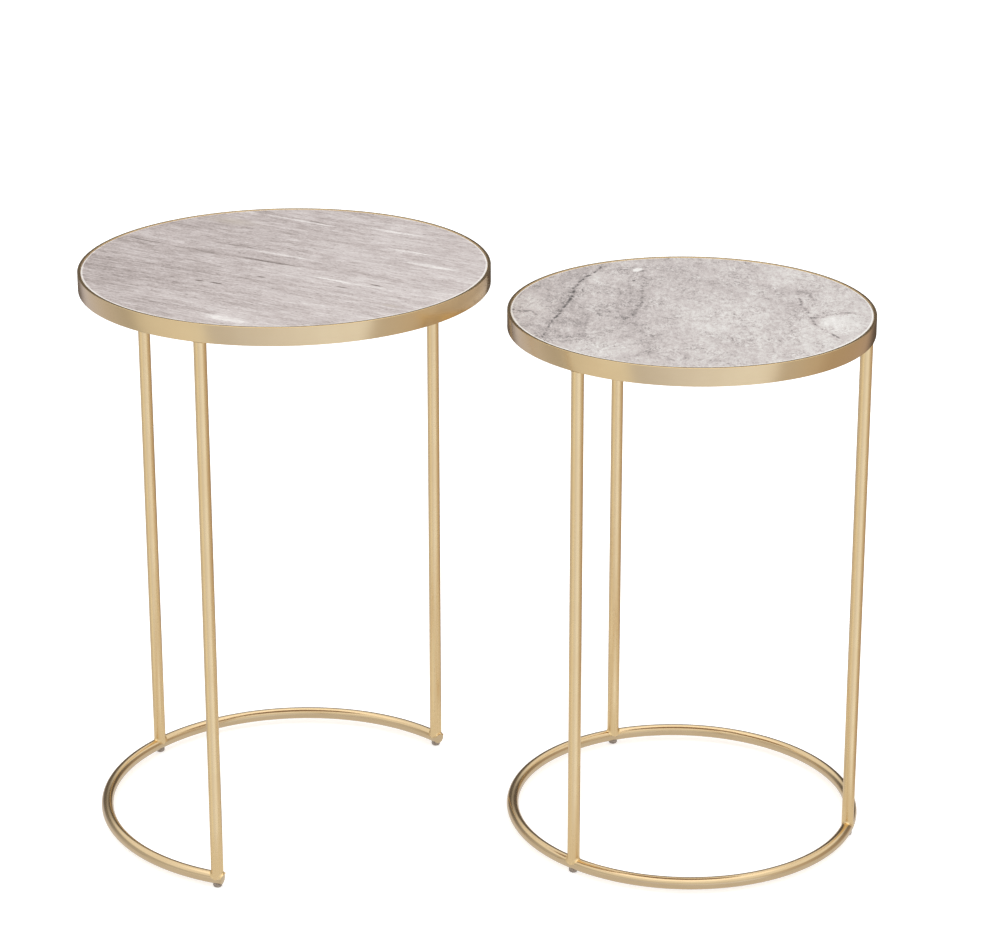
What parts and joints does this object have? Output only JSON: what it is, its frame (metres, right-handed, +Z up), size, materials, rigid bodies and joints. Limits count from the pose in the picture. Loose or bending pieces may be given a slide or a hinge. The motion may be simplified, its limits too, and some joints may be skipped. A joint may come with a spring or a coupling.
{
  "type": "nesting tables",
  "caption": "Pair of round marble-topped nesting side tables on slim brass-coloured tube frames; the smaller slides under the larger through its open floor ring.",
  "frame": {"origin": "on the floor, under the middle of the pair's bounding box as the two tables stand side by side", "axes": "+X from the large table towards the small one, +Y towards the back, +Z up"},
  "size_m": [0.8114, 0.42, 0.607],
  "materials": {
    "brass_frame": "satin champagne-gold plating, finely brushed",
    "large_marble": "honed grey-taupe marble with fine parallel streaks",
    "small_marble": "honed grey-taupe marble, mottled, with broken darker veins",
    "fibreboard": "plain fibreboard",
    "zinc_screw": "zinc plated",
    "clear_glide": "translucent soft plastic"
  },
  "bodies": {
    "large_table": {"large_marble_top": "large_marble", "large_rim_band": "brass_frame", "large_backing_board": "fibreboard", "large_floor_ring": "brass_frame", "large_ring_end_cap_front": "brass_frame", "large_ring_end_cap_right": "brass_frame", "large_leg_front": "brass_frame", "large_support_tab_front": "brass_frame", "large_tab_screw_front": "zinc_screw", "large_glide_front": "clear_glide", "large_leg_right": "brass_frame", "large_support_tab_right": "brass_frame", "large_tab_screw_right": "zinc_screw", "large_glide_right": "clear_glide", "large_leg_back_left": "brass_frame", "large_support_tab_back_left": "brass_frame", "large_tab_screw_back_left": "zinc_screw", "large_glide_back_left": "clear_glide"},
    "small_table": {"small_marble_top": "small_marble", "small_rim_band": "brass_frame", "small_backing_board": "fibreboard", "small_floor_ring": "brass_frame", "small_leg_right": "brass_frame", "small_support_tab_right": "brass_frame", "small_tab_screw_right": "zinc_screw", "small_glide_right": "clear_glide", "small_leg_back_left": "brass_frame", "small_support_tab_back_left": "brass_frame", "small_tab_screw_back_left": "zinc_screw", "small_glide_back_left": "clear_glide", "small_leg_front_left": "brass_frame", "small_support_tab_front_left": "brass_frame", "small_tab_screw_front_left": "zinc_screw", "small_glide_front_left": "clear_glide"}
  },
  "joints": [
    {"name": "small_table_swing", "type": "hinge", "parent": "large_table", "child": "small_table", "pos_m": [0.02791, 0.2953, 0], "axis": [0, 0, -1], "range_deg": [0, 68.05]}
  ]
}
